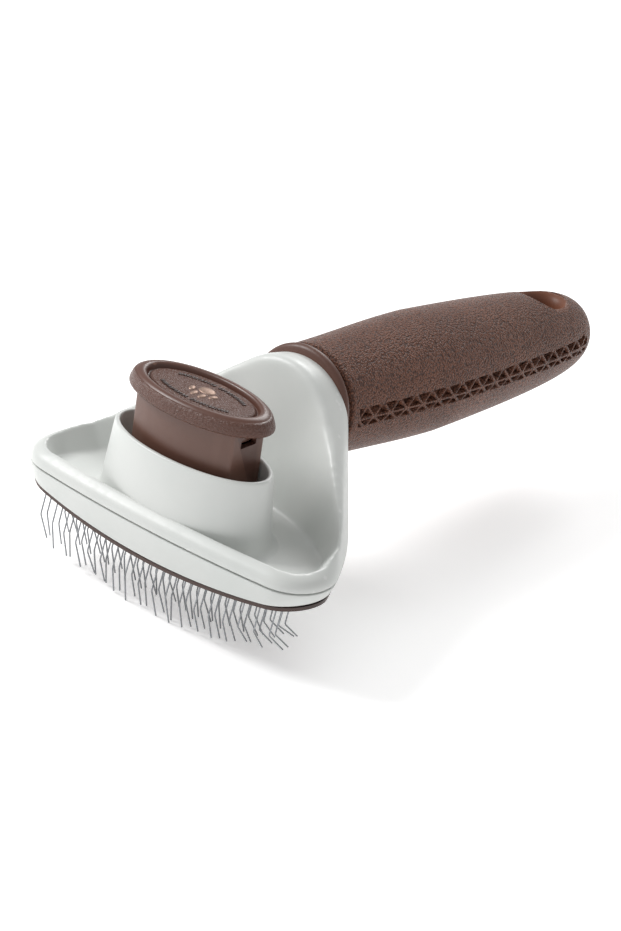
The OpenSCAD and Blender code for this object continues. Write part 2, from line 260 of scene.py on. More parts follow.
@dataclass(frozen=True)
class LeatherGrainRubber:
    """Thermoplastic rubber moulded with a leather grain of pebbles about half a millimetre wide.

    The eye gets a matt brown skin whose pebbles catch small soft glints, with painted shade
    darkening the creases between them, and a smooth lip where the attribute "grain" is 0.
    """

    name: str
    colour: str
    crease_shade: str
    glint: str
    pebble_mm: float
    depth_mm: float

    def build(self) -> bpy.types.Material:
        """Makes the material."""
        material, tree, shader = blank_material(self.name)
        shader.inputs["Specular IOR Level"].default_value = 0.3
        place = add_node(tree, "ShaderNodeTexCoord").outputs["Object"]
        wander = add_node(
            tree, "ShaderNodeTexNoise", {"Scale": per_mm(2.2), "Detail": 2.0}, {"Vector": place}
        ).outputs["Color"]
        shift = add_node(
            tree,
            "ShaderNodeVectorMath",
            {"operation": "MULTIPLY_ADD", 1: (0.0005, 0.0005, 0.0005)},
            {0: wander, 2: place},
        ).outputs["Vector"]
        pebbles = add_node(
            tree,
            "ShaderNodeTexVoronoi",
            {"feature": "SMOOTH_F1", "Scale": per_mm(self.pebble_mm), "Smoothness": 0.35},
            {"Vector": shift},
        ).outputs["Distance"]
        fine = add_node(
            tree, "ShaderNodeTexNoise", {"Scale": per_mm(0.3), "Detail": 3.0}, {"Vector": place}
        ).outputs["Fac"]
        clouds = add_node(
            tree, "ShaderNodeTexNoise", {"Scale": per_mm(22), "Detail": 2.0}, {"Vector": place}
        ).outputs["Fac"]
        mask = add_node(tree, "ShaderNodeAttribute", {"attribute_name": "grain"}).outputs["Fac"]
        # Painted shade: the creases between pebbles get the darker crease colour, except on the
        # smooth lip.
        valley = add_node(
            tree,
            "ShaderNodeMapRange",
            {"clamp": True, "From Min": 0.34, "From Max": 0.7},
            {"Value": pebbles},
        ).outputs["Result"]
        crease_shade = add_node(
            tree, "ShaderNodeMath", {"operation": "MULTIPLY"}, {0: valley, 1: mask}
        ).outputs[0]
        cloudy = add_node(tree, "ShaderNodeMapRange", MIDDLE, {"Value": clouds}).outputs["Result"]
        tinted = add_node(
            tree,
            "ShaderNodeMix",
            {"data_type": "RGBA", 6: linear(self.colour), 7: linear(self.glint)},
            {0: cloudy},
        ).outputs[2]
        base = add_node(
            tree,
            "ShaderNodeMix",
            {"data_type": "RGBA", 7: linear(self.crease_shade)},
            {0: crease_shade, 6: tinted},
        ).outputs[2]
        tree.links.new(base, shader.inputs["Base Color"])
        sheen = add_node(
            tree,
            "ShaderNodeMapRange",
            {"From Min": 0.25, "From Max": 0.75, "To Min": 0.34, "To Max": 0.54},
            {"Value": fine},
        ).outputs["Result"]
        tree.links.new(sheen, shader.inputs["Roughness"])
        domes = add_node(
            tree, "ShaderNodeMath", {"operation": "MULTIPLY_ADD", 1: -1.0, 2: 1.0}, {0: pebbles}
        ).outputs[0]
        height = add_node(
            tree,
            "ShaderNodeMath",
            {"operation": "MULTIPLY_ADD", 1: 0.35},
            {0: fine, 2: domes},
        ).outputs[0]
        raised = add_node(
            tree, "ShaderNodeMath", {"operation": "MULTIPLY"}, {0: height, 1: mask}
        ).outputs[0]
        bump = add_node(
            tree,
            "ShaderNodeBump",
            {"Strength": 1.0, "Distance": self.depth_mm * MM},
            {"Height": raised},
        ).outputs["Normal"]
        tree.links.new(bump, shader.inputs["Normal"])
        return material


@dataclass(frozen=True)
class DrawnSteel:
    """Drawn or turned stainless steel with fine lines along it.

    The eye gets a grey metal with a soft bright line along each wire and darker ends.
    """

    name: str
    colour: str
    dull: str
    roughness: float

    def build(self) -> bpy.types.Material:
        """Makes the material."""
        material, tree, shader = blank_material(self.name)
        place = add_node(tree, "ShaderNodeTexCoord").outputs["Object"]
        stretched = add_node(
            tree, "ShaderNodeMapping", {"Scale": (1.0, 1.0, 0.08)}, {"Vector": place}
        ).outputs["Vector"]
        lines = add_node(
            tree,
            "ShaderNodeTexNoise",
            {"Scale": per_mm(0.25), "Detail": 2.0},
            {"Vector": stretched},
        ).outputs["Fac"]
        streaks = add_node(tree, "ShaderNodeMapRange", MIDDLE, {"Value": lines}).outputs["Result"]
        base = add_node(
            tree,
            "ShaderNodeMix",
            {"data_type": "RGBA", 6: linear(self.colour), 7: linear(self.dull)},
            {0: streaks},
        ).outputs[2]
        tree.links.new(base, shader.inputs["Base Color"])
        shader.inputs["Metallic"].default_value = 1.0
        sheen = add_node(
            tree,
            "ShaderNodeMapRange",
            {
                "From Min": 0.3,
                "From Max": 0.7,
                "To Min": self.roughness - 0.06,
                "To Max": self.roughness + 0.08,
            },
            {"Value": lines},
        ).outputs["Result"]
        tree.links.new(sheen, shader.inputs["Roughness"])
        bump = add_node(
            tree, "ShaderNodeBump", {"Strength": 0.6, "Distance": 0.01 * MM}, {"Height": lines}
        ).outputs["Normal"]
        tree.links.new(bump, shader.inputs["Normal"])
        return material


class Finishes:
    """All the finishes of the brush, made once."""

    def __init__(self) -> None:
        """Makes every material."""
        # In each moulded plastic below, the third colour is the painted highlight on sharp edges.
        # Satin light grey ABS: reads as a soft, clean, pale grey.
        self.shell = MouldedPlastic(
            "satin_abs_light_grey", "#D2D4D1", "#CDD0CD", "#DBDCDA", 0.38, 0.5, 0.01
        ).build()
        # Natural polypropylene of the inner mouldings: greyer and duller than the shell.
        self.inner = MouldedPlastic(
            "inner_polypropylene", "#B9BCBA", "#AFB3B1", "#C8CAC8", 0.5, 0.6, 0.02
        ).build()
        # Brown ABS with an eroded grain between polished beads: reads as warm and leathery.
        self.cap = MouldedPlastic(
            "grained_abs_brown", "#5F3F34", "#583A30", "#7A584A", 0.33, 0.55, 0.5, "grain"
        ).build()
        # Polished brown ABS: reads as smooth, with a soft satin reflection.
        self.sleeve = MouldedPlastic(
            "satin_abs_brown", "#583A30", "#52362D", "#6E4F43", 0.36, 0.6, 0.008
        ).build()
        # Dark brown ABS of the ejector plate, seen as a thin dark line.
        self.plate = MouldedPlastic(
            "dark_abs_brown", "#35241F", "#30201B", "#46332D", 0.42, 0.6, 0.02
        ).build()
        # Hot-stamped copper foil: reads as a thin warm metallic tint.
        self.foil = DrawnSteel("copper_foil", "#A18A7E", "#8F786B", 0.5).build()
        # Soft grip rubber: reads as warm brown leather with fine glints.
        # The second colour of the grip is painted shade for the creases between pebbles.
        self.grip = LeatherGrainRubber(
            "leather_grain_tpr_brown", "#6C4331", "#462A1F", "#7E523F", 0.58, 0.5
        ).build()
        # Smooth rolled lip of the same rubber.
        self.roll = MouldedPlastic(
            "smooth_tpr_brown", "#5A3B30", "#53362C", "#6B4A3D", 0.44, 0.5, 0.02
        ).build()
        # Drawn spring wire: reads as thin mid-grey lines with a bright side.
        self.wire = DrawnSteel("drawn_steel_wire", "#97999C", "#7A7C7F", 0.3).build()
        # Turned and plated steel of screws, pins and springs: brighter than the wire.
        self.screw = DrawnSteel("turned_steel_screw", "#B4B6B8", "#8E9092", 0.3).build()
        # Vulcanised sponge rubber that holds the staples: dark, dry and matt.
        self.rubber = MouldedPlastic(
            "sponge_rubber_dark", "#3B3B3D", "#323234", "#48484A", 0.75, 0.7, 0.08
        ).build()


# ---- meshes ----


def arc(cx: float, cy: float, r: float, start: float, end: float, steps: int) -> list[tuple]:
    """Points of an arc round (cx, cy), from start to end in degrees."""
    turns = [math.radians(start + (end - start) * i / steps) for i in range(steps + 1)]
    return [(cx + r * math.cos(t), cy + r * math.sin(t)) for t in turns]


def ellipse(a: float, b: float, cy: float, z: float, count: int) -> Ring:
    """Ring of points on a level ellipse about the plane of symmetry."""
    turns = [2 * math.pi * i / count for i in range(count)]
    return [Vector((a * math.cos(t), cy + b * math.sin(t), z)) for t in turns]


def grow(bm: BMesh, ring: list[BMVert], points: Sequence[Vector]) -> list[BMVert]:
    """Extrudes a closed ring of vertices and sets the new ring at the points.

    Args:
        bm: Mesh that holds the ring.
        ring: Vertices in order.
        points: Places of the new vertices, in the same order.

    Returns:
        The new ring's vertices.
    """
    edges = [bm.edges.get(pair) for pair in zip(ring, ring[1:] + ring[:1])]
    made = bmesh.ops.extrude_edge_only(bm, edges=edges)["geom"]
    fresh = {item for item in made if isinstance(item, BMVert)}
    result = []
    for vert, point in zip(ring, points):
        twin = next(e.other_vert(vert) for e in vert.link_edges if e.other_vert(vert) in fresh)
        twin.co = point
        result.append(twin)
    return result


def loft(rings: Sequence[Ring], closed: bool = False, into: BMesh | None = None) -> BMesh:
    """Skins rings that all have the same number of points.

    Args:
        rings: Rings from one end to the other.
        closed: True joins the last ring to the first; False fills both ends.
        into: Mesh that gets the skin, or None for a new one.

    Returns:
        The mesh.
    """
    bm = into or bmesh.new()
    first = bmesh.ops.create_circle(bm, cap_ends=False, segments=len(rings[0]), radius=1)["verts"]
    for vert, point in zip(first, rings[0]):
        vert.co = point
    ring = first
    for points in [*rings[1:], *([rings[0]] if closed else [])]:
        ring = grow(bm, ring, points)
    if closed:
        bmesh.ops.remove_doubles(bm, verts=[*first, *ring], dist=1e-5)
    else:
        for loop in (first, ring):
            edges = [bm.edges.get(pair) for pair in zip(loop, loop[1:] + loop[:1])]
            bmesh.ops.contextual_create(bm, geom=edges)
    bmesh.ops.recalc_face_normals(bm, faces=bm.faces)
    return bm


def shade(bm: BMesh, degrees: float = 32) -> None:
    """Shades every face smooth, but keeps an edge sharp where it turns by more than degrees."""
    for face in bm.faces:
        face.smooth = True
    for edge in bm.edges:
        edge.smooth = len(edge.link_faces) != 2 or edge.calc_face_angle(0) < math.radians(degrees)


def slice_across(bm: BMesh, pitch: float, reach: float) -> None:
    """Cuts the mesh by planes across X, pitch apart, so that it can follow a curve."""
    for i in range(int(2 * reach / pitch) + 1):
        geom = [*bm.verts, *bm.edges, *bm.faces]
        bmesh.ops.bisect_plane(
            bm, geom=geom, dist=1e-4, plane_co=(-reach + i * pitch, 0, 0), plane_no=(1, 0, 0)
        )


def hull(groups: Iterable[Ring]) -> BMesh:
    """Convex hull of groups of points."""
    bm = bmesh.new()
    for ring in groups:
        made = bmesh.ops.create_circle(bm, cap_ends=False, segments=len(ring), radius=1)["verts"]
        for vert, point in zip(made, ring):
            vert.co = point
    bmesh.ops.remove_doubles(bm, verts=bm.verts, dist=1e-4)
    found = bmesh.ops.convex_hull(bm, input=bm.verts, use_existing_faces=False)
    spare = {*found["geom_interior"], *found["geom_unused"]}
    bmesh.ops.delete(bm, geom=list(spare), context="VERTS")
    bmesh.ops.recalc_face_normals(bm, faces=bm.faces)
    return bm


def carve(body: BMesh, tools: Sequence[BMesh], voxel: float = 0.0) -> BMesh:
    """Cuts tools out of a body, and optionally rebuilds it from small cells.

    Args:
        body: Mesh that is carved, and freed.
        tools: Meshes that are cut out in order, and freed.
        voxel: Size of the cells, or 0 to keep the exact cut.

    Returns:
        A new mesh.
    """
    made = []
    for bm in (body, *tools):
        mesh = bpy.data.meshes.new("bench")
        bm.to_mesh(mesh)
        bm.free()
        item = bpy.data.objects.new("bench", mesh)
        bpy.context.scene.collection.objects.link(item)
        made.append(item)
    for item in made[1:]:
        step = made[0].modifiers.new("cut", "BOOLEAN")
        step.operation, step.solver, step.object = "DIFFERENCE", "EXACT", item
    if voxel:
        step = made[0].modifiers.new("cells", "REMESH")
        step.mode, step.voxel_size, step.use_smooth_shade = "VOXEL", voxel, True
    graph = bpy.context.evaluated_depsgraph_get()
    result = bmesh.new()
    result.from_mesh(made[0].evaluated_get(graph).to_mesh())
    for item in made:
        mesh = item.data
        bpy.data.objects.remove(item)
        bpy.data.meshes.remove(mesh)
    return result


class Bench:
    """Finishes pieces: moves them into the shared frame and puts them on their body."""

    def __init__(self, finishes: Finishes) -> None:
        """Finds the drawing frame's origin from the button cap's place in the frame."""
        low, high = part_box("button_cap")
        self.finishes = finishes
        self.origin = Vector((0, (low.y + high.y) / 2 - BUTTON_Y * MM, high.z - CAP_TOP * MM))
        self.count = 0

    def finish_piece(
        self,
        name: str,
        bm: BMesh,
        finish: bpy.types.Material,
        body: Body,
        stands_for: Sequence[str] = (),
        turn: Matrix | None = None,
    ) -> bpy.types.Object:
        """Makes an object of a mesh drawn in millimetres.

        Args:
            name: Name of the piece.
            bm: Its mesh, which is freed.
            finish: Its material.
            body: Body that it rides on.
            stands_for: CAD nodes that it replaces.
            turn: Matrix from the mesh's own frame to the drawing frame.

        Returns:
            The object.
        """
        place = Matrix.Translation(self.origin) @ Matrix.Scale(MM, 4) @ (turn or Matrix())
        bm.transform(place)
        mesh = bpy.data.meshes.new(name)
        bm.to_mesh(mesh)
        bm.free()
        piece = bpy.data.objects.new(name, mesh)
        bpy.context.scene.collection.objects.link(piece)
        mesh.materials.append(finish)
        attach(piece, body.value)
        if stands_for:
            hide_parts(*stands_for)
        self.count += 1
        LOG.info("%s: %d faces on %s", name, len(mesh.polygons), body.value)
        return piece

    def dress_node(self, node: str, finish: bpy.types.Material) -> None:
        """Gives a CAD node its finish."""
        mesh = bpy.data.objects[node].data
        mesh.materials.clear()
        mesh.materials.append(finish)
        LOG.info("%s: CAD node dressed", node)


# ---- head ----


@dataclass
class HeadShape:
    """Outline and levels that the head's pieces share."""

    half_w: float = 49.5
    corner_r: float = 11.9
    front: float = 15.3
    front_bow_r: float = 368.0
    side_bow_r: float = 115.5
    side_turn: float = 26.3
    skirt_drop: float = 28.7
    rocker_r: float = 240.0
    tray_z: float = -20.5
    rim_z: float = -16.1
    groove_z: float = -20.1

    def half_outline(self, inset: float, back: float) -> list[tuple]:
        """Right half of the outline, moved in by inset and cut off at y = back."""
        cx = self.half_w - self.corner_r
        reach = self.front_bow_r - self.corner_r
        cy = -self.front + self.front_bow_r - math.sqrt(reach**2 - cx**2)
        turn = math.degrees(math.asin(cx / reach))
        leg = self.side_bow_r - self.corner_r
        sx = cx - leg * math.cos(math.radians(self.side_turn))
        sy = cy - leg * math.sin(math.radians(self.side_turn))
        last = math.degrees(math.asin((back - sy) / (self.side_bow_r - inset)))
        middle = self.front_bow_r - self.front
        return [
            *arc(0, middle, self.front_bow_r - inset, -90, turn - 90, 24)[:-1],
            *arc(cx, cy, self.corner_r - inset, turn - 90, self.side_turn, 18)[:-1],
            *arc(sx, sy, self.side_bow_r - inset, self.side_turn, last, 20),
        ]

    def outline(self, inset: float, back: float, z: float) -> Ring:
        """Level ring of the whole outline."""
        right = self.half_outline(inset, back)
        left = [(-x, y) for x, y in reversed(right) if x > 0.001]
        return [Vector((x, y, z)) for x, y in [*right, *left]]

    def rocker(self, x: float, drop: float) -> float:
        """Height of the rocker curve at x, lowered by drop."""
        return -self.skirt_drop + self.rocker_r - math.sqrt((self.rocker_r + drop) ** 2 - x * x)

    def fall_back(self, x: float) -> float:
        """How far the front edge falls back beside x."""
        return self.front_bow_r - math.sqrt(self.front_bow_r**2 - x * x)


@dataclass
class Head:
    """The head's two mouldings, its collar and the fixed pieces inside."""

    shape: HeadShape
    collar_a: float = 25.0
    collar_b: float = 12.3
    cell: float = 0.47
    taper: float = 1.6
    corner_taper: float = 0.05

    def handle_ring(self, a: float, b: float, along: float) -> Ring:
        """Ellipse across the handle's axis, along millimetres from the handle's front end."""
        flat = ellipse(a, b, 0, 0, 96)
        return [handle_matrix() @ Vector((p.x, -p.y, along)) for p in flat]

    def body(self) -> BMesh:
        """The upper moulding: rim, tray, cove and neck, with moulded radii."""
        s = self.shape
        brow = [Vector((p.x, 0, p.y)) for p in ellipse(16.6, 13.9, 1.5, 0, 96)]
        solid = hull(
            [
                # outer wall, rounded edge and crest of the rim
                s.outline(0, 19, -23),
                s.outline(0, 24, s.groove_z),
                s.outline(0, 24, s.groove_z + 1.6),
                s.outline(1.1, 16, s.rim_z - 0.8),
                s.outline(2.8, 8, s.rim_z + 0.1),
                # the neck's end, the side rails' shoulders and the brow above the tray
                self.handle_ring(15.8, 13.4, 2.5),
                self.handle_ring(15.8, 13.4, -0.4),
                [Vector((x, 17.5, -9)) for x in (-37.4, 37.4)],
                [p + Vector((0, 33, 0)) for p in brow],
                [p + Vector((0, 35.5, 0)) for p in brow],
            ]
        )
        floor = [
            *s.half_outline(6.6, 8),
            (38.6, 9.8),
            (34, 13.4),
            (28, 16.8),
            (20, 20.0),
            (10, 22.2),
            (0, 22.9),
        ]
        low = [Vector((x, y, s.tray_z)) for x, y in floor]
        low += [Vector((-p.x, p.y, p.z)) for p in reversed(low) if p.x > 0.001]
        # The tool widens upwards well past the rim, and leans back into the neck.
        high = s.outline(-17, 8, 20) + [Vector((-16, 35.8, 20)), Vector((16, 35.8, 20))]
        hole = loft([ellipse(24.2, 11.6, 0, z, 96) for z in (-26, -16)])
        bm = carve(solid, [hull([low, high]), hole], self.cell)
        self.soften(bm)
        # Section of the cut that ends the outer wall: inset, rear end, height above the groove.
        step = [
            (-5, 32, 0.6), (-5, 32, -8), (3.6, 22.3, -8), (3.6, 22.3, 0.15), (0.5, 26.5, 0.15),
            (0.02, 27, 0.6),
        ]
        edge = loft([s.outline(i, back, s.groove_z + z) for i, back, z in step], closed=True)
        bm = carve(bm, [edge])
        pan = Vector((0, 0, s.groove_z - 1.95))
        cuts = [(pan, Vector((0, 0, 1))), (self.neck_end(), -handle_axis())]
        for spot, normal in cuts:
            geom = [*bm.verts, *bm.edges, *bm.faces]
            made = bmesh.ops.bisect_plane(
                bm, geom=geom, dist=1e-4, plane_co=spot, plane_no=normal, clear_inner=True
            )["geom_cut"]
            edges = [item for item in made if isinstance(item, BMEdge)]
            bmesh.ops.triangle_fill(bm, use_beauty=True, edges=edges)
        bmesh.ops.recalc_face_normals(bm, faces=bm.faces)
        return bm

    def neck_end(self) -> Vector:
        """Point on the plane where the neck meets the handle's ring."""
        return handle_matrix() @ Vector((0, 0, 0.3))

    def soften(self, bm: BMesh) -> None:
        """Rounds the moulding: all of it, above the tray, in the cove, the neck, then the rim."""
        passes: list[tuple[int, Callable[[Vector], bool]]] = [
            (8, lambda p: True),
            (26, lambda p: p.y > 13 and p.z > -19.6),
            (45, lambda p: p.y > 18.4 - 0.0085 * p.x**2 and abs(p.x) < 41 - 0.62 * p.y and p.z < 6),
            (25, lambda p: 24 < p.y < 40 and p.z > -6),
            (4, lambda p: p.z > -19),
        ]
        for rounds, wanted in passes:
            for _ in range(rounds):
                verts = [v for v in bm.verts if wanted(v.co)]
                bmesh.ops.smooth_vert(
                    bm, verts=verts, factor=0.5, use_axis_x=True, use_axis_y=True, use_axis_z=True
                )

    def collar(self) -> BMesh:
        """The oval collar with its rounded lip, and a radius where it meets the tray."""
        outer = [
            (4.6, -20.62), (3.9, -20.42), (3.3, -20.1), (2.75, -19.6), (2.35, -18.9), (2.05, -17.9),
            (1.75, -16), (1.35, -12), (0.9, -8), (0.45, -4), (0.12, -1.2), (0.03, -0.6),
            (-0.07, -0.3), (-0.25, -0.1), (-0.5, 0), (-0.9, 0), (-1.15, -0.1), (-1.33, -0.3),
            (-1.4, -0.6), (-1.4, -4), (-1.4, -7.45), (-0.82, -7.5), (-0.8, -21.2), (3.4, -21.2),
        ]
        return loft([self.collar_ring(d, z) for d, z in outer], closed=True)

    def collar_ring(self, grown: float, z: float) -> Ring:
        """Ring of the collar, grown outwards except at the front, where the rim is close."""
        ring = ellipse(self.collar_a, self.collar_b, 0, z, 160)
        for point in ring:
            across, along = point.x / self.collar_a, point.y / self.collar_b
            share = min(1.0, max(0.0, (along + 0.8) / 0.6))
            share = 0.04 + 0.96 * share * share * (3 - 2 * share) if grown > 0 else 1
            point.x += grown * across
            point.y += grown * share * along
        return ring

    def skirt(self) -> BMesh:
        """The lower moulding: tapered sides, and an underside that follows the rocker curve."""
        s = self.shape
        top = s.groove_z - 0.15
        wide = s.outline(0, 24, 0)
        rings = []
        for lift, inset in ((0, 0.5), (0.15, 0.18), (0.5, 0), (0, 0), (0, 0.1), (0, 0.45)):
            base = s.outline(inset, 24 - inset, 0)
            slim = s.outline(self.taper + inset, 18 - inset, 0)
            ring = []
            for i, (p, q) in enumerate(zip(base, slim)):
                if len(rings) < 3:
                    z = top - lift
                else:
                    z = s.rocker(wide[i].x, 0) + (0.45, 0.12, 0)[len(rings) - 3]
                share = (top - z) / (top + s.skirt_drop)
                place = p.lerp(q, share)
                place.x *= 1 - self.corner_taper * share * (abs(p.x) / s.half_w) ** 3
                ring.append(Vector((place.x, place.y, z)))
            rings.append(ring)
        bm = loft(rings)
        slice_across(bm, 4, 48)
        pocket = loft([s.outline(3.4, 8, z) for z in (-32, -19)])
        seat = loft([s.outline(3.6, 21, z) for z in (-22.2, -19)])
        return carve(bm, [pocket, seat])

    def cushion(self) -> BMesh:
        """The sponge rubber sheet that holds the staples, curved like the skirt."""
        s = self.shape
        sizes = ((4.0, 0.0), (3.75, 0.25), (3.75, 1.15), (4.0, 1.4))
        bm = loft([s.outline(inset, 11.3 - inset, z) for inset, z in sizes])
        slice_across(bm, 3, 44)
        for vert in bm.verts:
            vert.co.z += s.rocker(vert.co.x, -0.1)
        shade(bm)
        return bm

    def build(self, bench: Bench) -> None:
        """Builds and dresses the head."""
        f = bench.finishes
        body = self.body()
        shade(body, 40)
        bench.finish_piece(
            "upper_shell_body", body, f.shell, Body.BRUSH, ["upper_shell"]
        )
        collar = self.collar()
        shade(collar, 50)
        bench.finish_piece("upper_shell_collar", collar, f.shell, Body.BRUSH)
        skirt = self.skirt()
        shade(skirt, 35)
        bench.finish_piece("lower_skirt", skirt, f.shell, Body.BRUSH, ["lower_frame"])
        pad = self.cushion()
        bench.finish_piece(
            "staple_cushion", pad, f.rubber, Body.BRUSH, ["bristle_cushion"]
        )
        for node in ("button_guide", "bristle_board"):
            bench.dress_node(node, f.inner)
        for node in ("frame_screws", "board_screws", "neck_screws", "ejector_posts"):
            bench.dress_node(node, f.screw)
        for side in ("left", "right"):
            bench.dress_node(f"return_spring_{side}", f.screw)
        bench.dress_node("ejector_plate", f.plate)


@dataclass
class Staples:
    """Two rows of bent wire staples."""

    shape: HeadShape
    wire_d: float = 0.42
    pitch: float = 4.7
    count: int = 18
    row_y: float = -9.5
    row_gap: float = 7.0
    knee_drop: float = 9.4
    knee_lean: float = 2.2
    tip_length: float = 8.35
    tip_lean: float = 18.9
    splay: float = 42.0

    def leg(self, x: float, y: float, chance: random.Random) -> Ring:
        """Root, knee and tip of one leg, a little out of true."""
        root = self.shape.rocker(x, -0.1)
        extra = self.splay * ((x - 8) / 36) ** 2 if x > 8 else 0
        lean = math.radians(self.tip_lean + extra + chance.uniform(-6, 6))
        aside = chance.uniform(-0.8, 0.8)
        reach = self.tip_length - abs(chance.uniform(0, 0.35))
        knee = Vector((x + chance.uniform(-0.12, 0.12), y - self.knee_lean, root - self.knee_drop))
        tip = knee + Vector((aside, reach * math.sin(lean), -reach * math.cos(lean)))
        return [Vector((x, y, root)), knee, tip]

    def rounded(self, path: Ring, r: float) -> Ring:
        """Path with each inner corner turned into a small arc of five points."""
        result = [path[0]]
        for before, corner, after in zip(path, path[1:], path[2:]):
            start = corner + (before - corner).normalized() * r
            end = corner + (after - corner).normalized() * r
            for i in range(5):
                t = i / 4
                result.append(start * (1 - t) ** 2 + corner * 2 * t * (1 - t) + end * t * t)
        result.append(path[-1])
        return result

    def tube(self, bm: BMesh, path: Ring) -> None:
        """Adds a round wire along a path."""
        rings = []
        for i, point in enumerate(path):
            ahead = (path[min(i + 1, len(path) - 1)] - path[max(i - 1, 0)]).normalized()
            aside = ahead.cross(Vector((1, 0, 0)))
            aside = aside if aside.length > 0.3 else ahead.cross(Vector((0, 1, 0)))
            u = aside.normalized()
            v = ahead.cross(u)
            turns = [2 * math.pi * k / 8 for k in range(8)]
            r = self.wire_d / 2
            rings.append([point + r * (math.cos(t) * u + math.sin(t) * v) for t in turns])
        loft(rings, into=bm)

    def row(self, number: int, chance: random.Random) -> BMesh:
        """One row of staples."""
        bm = bmesh.new()
        total = self.count - number
        for i in range(total):
            x = (i - (total - 1) / 2) * self.pitch
            y = self.row_y + number * self.row_gap + self.shape.fall_back(x)
            skew = chance.uniform(-0.08, 0.08)
            front = self.leg(x - 0.3, y, chance)
            back = self.leg(x + 0.3, y + 1.8 + skew, chance)
            for leg in (front, back):
                crown = leg[0] + Vector((0, 0, 1.2))
                self.tube(bm, self.rounded([crown, *leg[1:]], 0.55))
        shade(bm, 60)
        return bm

    def build(self, bench: Bench) -> None:
        """Builds and dresses both rows."""
        chance = random.Random(11)
        for number, node in enumerate(("front_staples", "back_staples")):
            bm = self.row(number, chance)
            bench.finish_piece(
                f"{node}_wire", bm, bench.finishes.wire, Body.BRUSH, [node]
            )


# ---- button ----


def curved(profile: Sequence[tuple[float, float]], steps: int) -> list[tuple[float, float]]:
    """Smooth curve through the points of a profile, with steps pieces between two points."""
    points = [profile[0], *profile, profile[-1]]
    result = []
    for a, b, c, d in zip(points, points[1:], points[2:], points[3:]):
        for i in range(steps):
            t = i / steps
            result.append(
                tuple(
                    0.5
                    * (
                        2 * q
                        + (r - p) * t
                        + (2 * p - 5 * q + 4 * r - s) * t**2
                        + (3 * q - p - 3 * r + s) * t**3
                    )
                    for p, q, r, s in zip(a, b, c, d)
                )
            )
    return [*result, profile[-1]]


